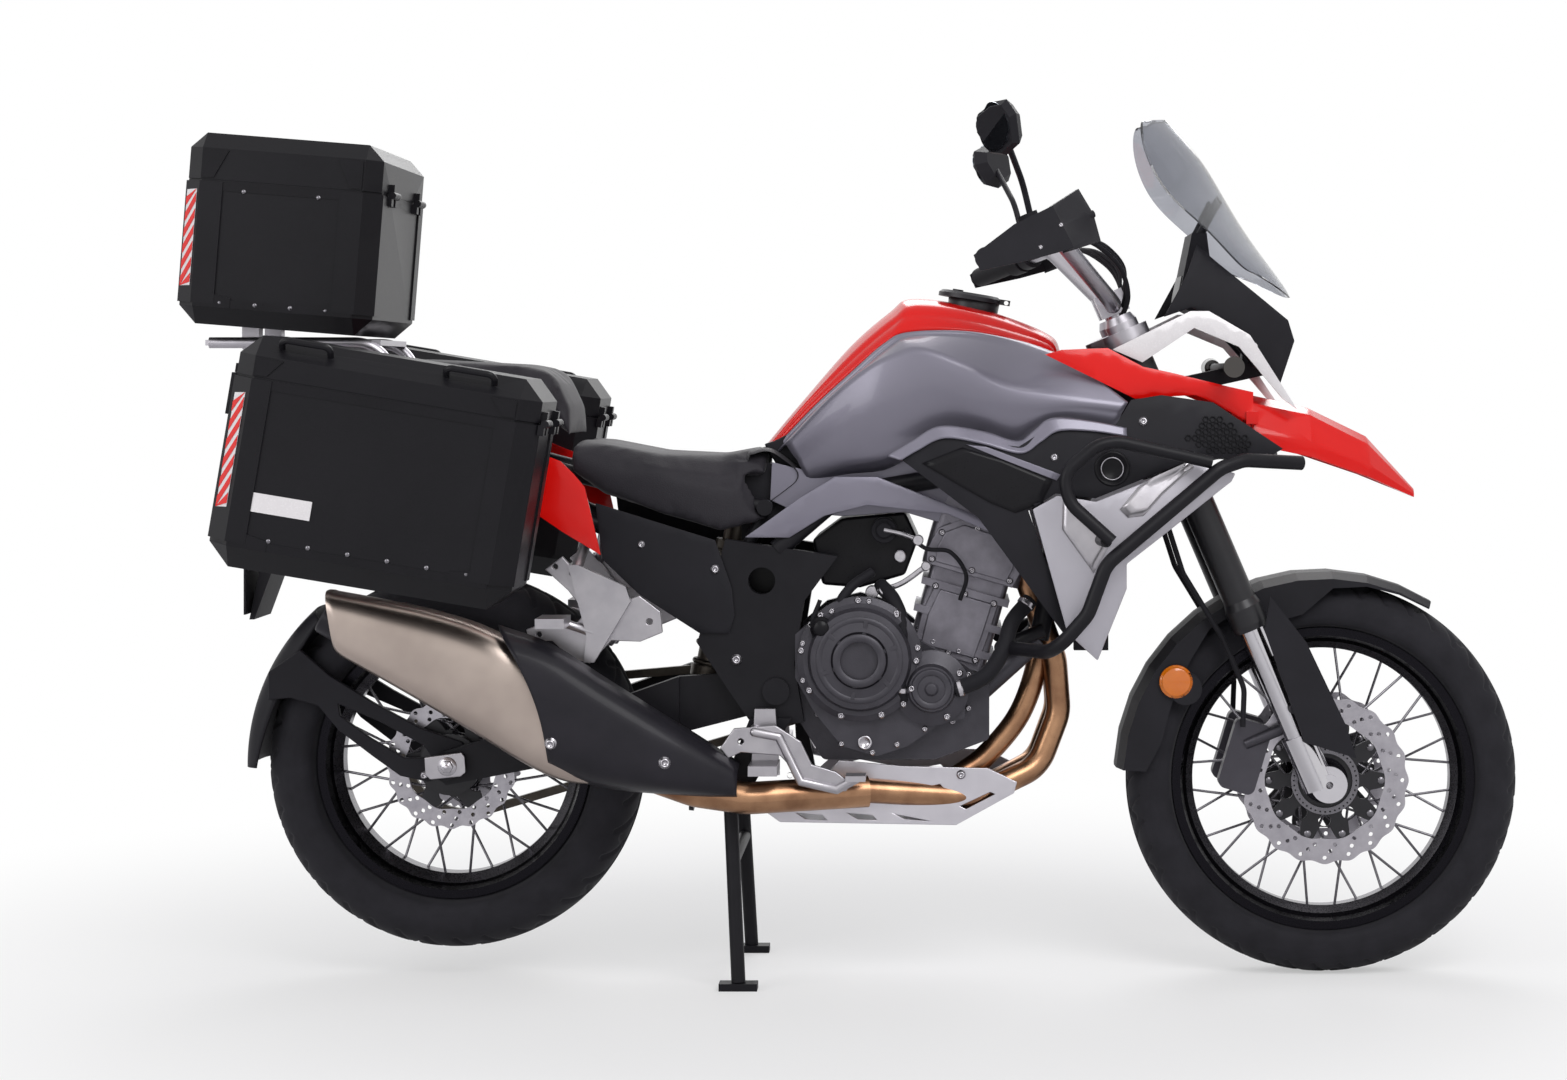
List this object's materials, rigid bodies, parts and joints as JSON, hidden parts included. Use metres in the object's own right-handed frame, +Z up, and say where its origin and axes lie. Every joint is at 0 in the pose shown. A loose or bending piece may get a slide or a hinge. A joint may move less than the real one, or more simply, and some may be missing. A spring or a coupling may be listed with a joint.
{
  "type": "adventure motorcycle",
  "caption": "Tall touring motorcycle with wire wheels, tubular frame, screen, crash bars, side and top luggage cases, parked upright on its centre stand.",
  "frame": {"origin": "on the ground below the middle of the machine's overall box", "axes": "+X forward, +Y to the rider's left, +Z up"},
  "size_m": [2.187, 1.0072, 1.418],
  "materials": {
    "tyre_rubber": "matte",
    "rim_alloy": "satin",
    "disc_steel": "brushed",
    "fork_alloy": "anodised",
    "fork_chrome": "polished",
    "bar_alloy": "satin",
    "control_rubber": "matte",
    "black_plastic": "textured",
    "frame_paint": "satin",
    "engine_metal": "cast",
    "cylinder_metal": "cast",
    "radiator_metal": "painted",
    "header_steel": "heat tinted",
    "muffler_steel": "brushed",
    "shield_steel": "satin",
    "skid_alloy": "satin",
    "arm_alloy": "painted",
    "chain_steel": "oiled",
    "tank_grey": "metallic",
    "panel_red": "gloss",
    "panel_silver": "metallic",
    "trim_white": "gloss",
    "seat_vinyl": "grained",
    "lamp_lens": "clear",
    "screen_clear": "smoky clear",
    "amber_lens": "gloss",
    "case_alloy": "powder coated",
    "rack_metal": "satin"
  },
  "bodies": {
    "chassis": {"main_frame": "frame_paint", "subframe": "frame_paint", "engine_case": "engine_metal", "cylinder_block": "cylinder_metal", "engine_covers": "engine_metal", "radiator": "radiator_metal", "exhaust_pipes": "header_steel", "muffler": "muffler_steel", "muffler_shield": "shield_steel", "skid_plate": "skid_alloy", "swingarm": "arm_alloy", "drive_chain": "chain_steel", "rear_hugger": "black_plastic", "shock_absorber": "chain_steel", "footrests": "arm_alloy", "rear_caliper": "arm_alloy", "stand_brackets": "frame_paint", "fuel_tank": "tank_grey", "tank_stripe": "panel_red", "rider_seat": "seat_vinyl", "pillion_seat": "seat_vinyl", "side_shrouds": "black_plastic", "lower_shrouds": "panel_silver", "knee_covers": "tank_grey", "side_covers": "black_plastic", "tail_panels": "panel_red", "beak": "panel_red", "nose_fairing": "black_plastic", "nose_trim": "trim_white", "headlight": "lamp_lens", "windshield": "screen_clear", "instrument_panel": "black_plastic", "signal_lamps": "amber_lens", "crash_bars": "frame_paint", "rear_mudguard": "black_plastic", "right_case": "case_alloy", "left_case": "case_alloy", "top_case": "case_alloy", "luggage_rack": "rack_metal"},
    "steering": {"fork_uppers": "fork_alloy", "fork_lowers": "fork_chrome", "handlebar": "bar_alloy", "hand_controls": "control_rubber", "hand_guards": "black_plastic", "mirrors": "black_plastic", "front_fender": "black_plastic", "front_calipers": "arm_alloy", "brake_hoses": "control_rubber"},
    "front_wheel": {"front_tyre": "tyre_rubber", "front_rim": "rim_alloy", "front_discs": "disc_steel"},
    "rear_wheel": {"rear_tyre": "tyre_rubber", "rear_rim": "rim_alloy", "rear_rotors": "disc_steel"},
    "centre_stand": {"centre_stand": "frame_paint"},
    "side_stand": {"side_stand": "frame_paint"},
    "right_lid": {"right_case_lid": "case_alloy"},
    "left_lid": {"left_case_lid": "case_alloy"},
    "top_lid": {"top_case_lid": "case_alloy"},
    "filler_cap": {"filler_cap": "rack_metal"}
  },
  "joints": [
    {"name": "steering", "type": "hinge", "parent": "chassis", "child": "steering", "pos_m": [0.525, 0, 0.764], "axis": [-0.3939, 0, 0.9191], "range_deg": [-35, 35]},
    {"name": "front_wheel_spin", "type": "hinge", "parent": "steering", "child": "front_wheel", "pos_m": [0.764, 0, 0.325], "axis": [0, 1, 0], "continuous": true},
    {"name": "rear_wheel_spin", "type": "hinge", "parent": "chassis", "child": "rear_wheel", "pos_m": [-0.674, 0, 0.354], "axis": [0, 1, 0], "continuous": true},
    {"name": "centre_stand_fold", "type": "hinge", "parent": "chassis", "child": "centre_stand", "pos_m": [-0.212, 0, 0.318], "axis": [0, 1, 0], "range_deg": [0, 78]},
    {"name": "side_stand_swing", "type": "hinge", "parent": "chassis", "child": "side_stand", "pos_m": [-0.092, 0.2, 0.248], "axis": [0, -1, 0], "range_deg": [0, 100]},
    {"name": "right_lid_hinge", "type": "hinge", "parent": "chassis", "child": "right_lid", "pos_m": [-0.46792, -0.385, 0.91807], "axis": [0, 1, 0], "range_deg": [0, 85]},
    {"name": "left_lid_hinge", "type": "hinge", "parent": "chassis", "child": "left_lid", "pos_m": [-0.46792, 0.385, 0.91807], "axis": [0, 1, 0], "range_deg": [0, 85]},
    {"name": "top_lid_hinge", "type": "hinge", "parent": "chassis", "child": "top_lid", "pos_m": [-0.75939, 0, 1.28481], "axis": [0, 1, 0], "range_deg": [0, 85]},
    {"name": "filler_cap_hinge", "type": "hinge", "parent": "chassis", "child": "filler_cap", "pos_m": [0.23972, 0, 1.11334], "axis": [0, 1, 0], "range_deg": [0, 95]}
  ]
}
